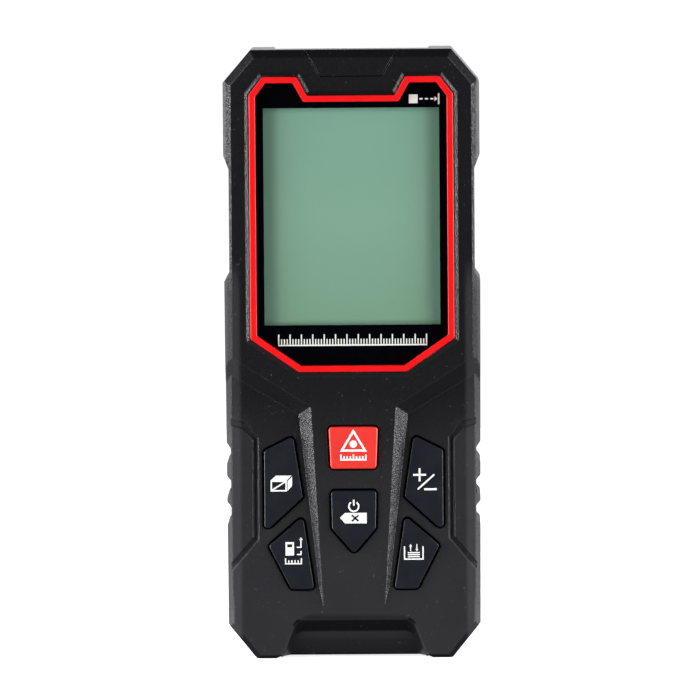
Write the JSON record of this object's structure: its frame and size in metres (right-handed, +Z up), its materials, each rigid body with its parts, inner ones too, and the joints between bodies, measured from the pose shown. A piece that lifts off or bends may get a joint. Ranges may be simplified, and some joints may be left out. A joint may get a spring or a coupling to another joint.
{
  "type": "laser distance meter",
  "caption": "Pocket laser distance meter: upright case with a framed liquid crystal display, press keys, laser and receiver optics at one end, battery door and tripod thread at the back.",
  "frame": {"origin": "centre of the flat measuring end that the meter stands on, in the middle of its width and depth", "axes": "+Z up towards the laser end, the face with the display and keys looks along -Y, +X to the right as seen from the front"},
  "size_m": [0.0496, 0.026, 0.118],
  "materials": {
    "case_plastic": "fine spark-eroded texture, satin black",
    "red_gloss": "polished red moulding",
    "window_clear": "clear hard-coated window",
    "mask_ink": "black back-printed ink",
    "lcd_green": "grey-green liquid crystal panel",
    "white_plastic": "white reflector plastic",
    "zebra_rubber": "conductive elastomer",
    "board_green": "solder mask",
    "chip_black": "moulded epoxy",
    "gold_metal": "gold plated",
    "grey_rubber": "silicone rubber",
    "red_key": "satin red silicone-feel cap",
    "key_black": "smooth satin blue-black cap",
    "carbon_rubber": "carbon loaded rubber",
    "end_plastic": "satin black",
    "filter_glass": "deep red filter glass",
    "clear_glass": "coated optical glass",
    "cast_alloy": "as-cast alloy",
    "ribbon_film": "polyimide film",
    "cell_wrap": "plain printed sleeve",
    "spring_steel": "nickel plated",
    "lead_red": "insulated wire",
    "foam": "closed-cell foam",
    "brass_insert": "turned brass",
    "label_film": "blank silver label",
    "black_steel": "black oxide"
  },
  "bodies": {
    "case": {"front_cover": "case_plastic", "nose_tab": "case_plastic", "bezel_ring": "red_gloss", "display_window": "window_clear", "window_mask": "mask_ink", "lcd_polarizer": "lcd_green", "lcd_glass": "lcd_green", "lcd_frame": "white_plastic", "backlight_guide": "white_plastic", "zebra_strip": "zebra_rubber", "main_pcb": "board_green", "pcb_chips": "chip_black", "buzzer": "chip_black", "dome_contacts": "gold_metal", "keypad_sheet": "grey_rubber", "rear_cover": "case_plastic", "housing_gasket": "grey_rubber", "end_plate": "end_plastic", "receiver_window": "filter_glass", "beam_window": "clear_glass", "optics_bench": "cast_alloy", "receiver_lens": "clear_glass", "lens_ring": "chip_black", "infrared_filter": "filter_glass", "detector_can": "gold_metal", "detector_board": "board_green", "laser_diode": "gold_metal", "collimator_lens": "clear_glass", "collimator_ring": "gold_metal", "sensor_ribbon": "ribbon_film", "cell_left": "cell_wrap", "cell_right": "cell_wrap", "bridge_contact": "spring_steel", "negative_contact": "spring_steel", "positive_contact": "spring_steel", "battery_leads": "lead_red", "hinge_pin": "spring_steel", "tripod_insert": "brass_insert", "rating_label": "label_film", "case_screws": "black_steel", "pcb_screws": "spring_steel", "bench_screws": "spring_steel"},
    "measure_button": {"measure_key": "red_key", "measure_pill": "carbon_rubber"},
    "power_button": {"power_key": "key_black", "power_pill": "carbon_rubber"},
    "volume_button": {"volume_key": "key_black", "volume_pill": "carbon_rubber"},
    "plus_minus_button": {"plus_minus_key": "key_black", "plus_minus_pill": "carbon_rubber"},
    "unit_button": {"unit_key": "key_black", "unit_pill": "carbon_rubber"},
    "memory_button": {"memory_key": "key_black", "memory_pill": "carbon_rubber"},
    "door": {"battery_door": "case_plastic", "door_pad": "foam"}
  },
  "joints": [
    {"name": "measure_press", "type": "slide", "parent": "case", "child": "measure_button", "axis": [0, 1, 0], "range_m": [0, 0.0006], "stiffness_N_per_m": 1500},
    {"name": "power_press", "type": "slide", "parent": "case", "child": "power_button", "axis": [0, 1, 0], "range_m": [0, 0.0006], "stiffness_N_per_m": 1500},
    {"name": "volume_press", "type": "slide", "parent": "case", "child": "volume_button", "axis": [0, 1, 0], "range_m": [0, 0.0006], "stiffness_N_per_m": 1500},
    {"name": "plus_minus_press", "type": "slide", "parent": "case", "child": "plus_minus_button", "axis": [0, 1, 0], "range_m": [0, 0.0006], "stiffness_N_per_m": 1500},
    {"name": "unit_press", "type": "slide", "parent": "case", "child": "unit_button", "axis": [0, 1, 0], "range_m": [0, 0.0006], "stiffness_N_per_m": 1500},
    {"name": "memory_press", "type": "slide", "parent": "case", "child": "memory_button", "axis": [0, 1, 0], "range_m": [0, 0.0006], "stiffness_N_per_m": 1500},
    {"name": "door_hinge", "type": "hinge", "parent": "case", "child": "door", "pos_m": [0, 0.012, 0.009], "axis": [-1, 0, 0], "range_deg": [0, 95]}
  ]
}
